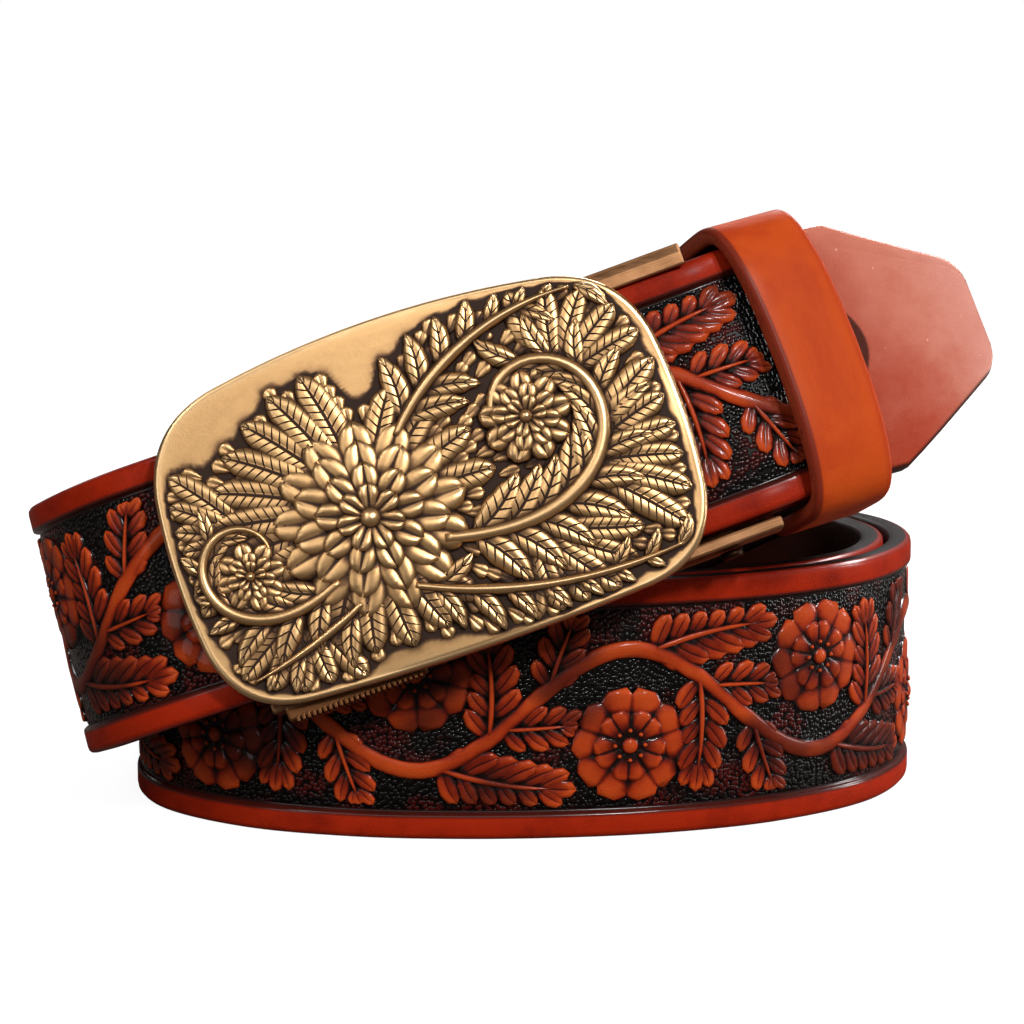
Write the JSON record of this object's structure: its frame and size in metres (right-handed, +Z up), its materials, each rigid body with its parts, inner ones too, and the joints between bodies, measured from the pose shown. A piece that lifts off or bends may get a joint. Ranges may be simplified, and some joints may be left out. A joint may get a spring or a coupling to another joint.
{
  "type": "ratchet belt",
  "caption": "Fastened and coiled embossed leather ratchet belt with a cast brass plate buckle, a clamp frame and a leather keeper loop.",
  "frame": {"origin": "middle of the underside of the part's box, on the surface that the coiled strap stands on", "axes": "+Z up, +X to the right in the buckle's front view, -Y out of the buckle's face towards the viewer"},
  "size_m": [0.145, 0.1082, 0.0912],
  "materials": {
    "strap_leather": "glossy dyed leather, deep red raised parts on a near-black pebbled ground",
    "keeper_leather": "smooth satin orange-brown leather with a darker cut edge",
    "cast_brass": "antique satin brass, polished high spots and dark brown recesses",
    "frame_brass": "satin brass"
  },
  "bodies": {
    "root": {"strap": "strap_leather", "keeper": "keeper_leather", "buckle_plate": "cast_brass", "buckle_frame": "frame_brass", "clamp_screw": "frame_brass"}
  },
  "joints": []
}
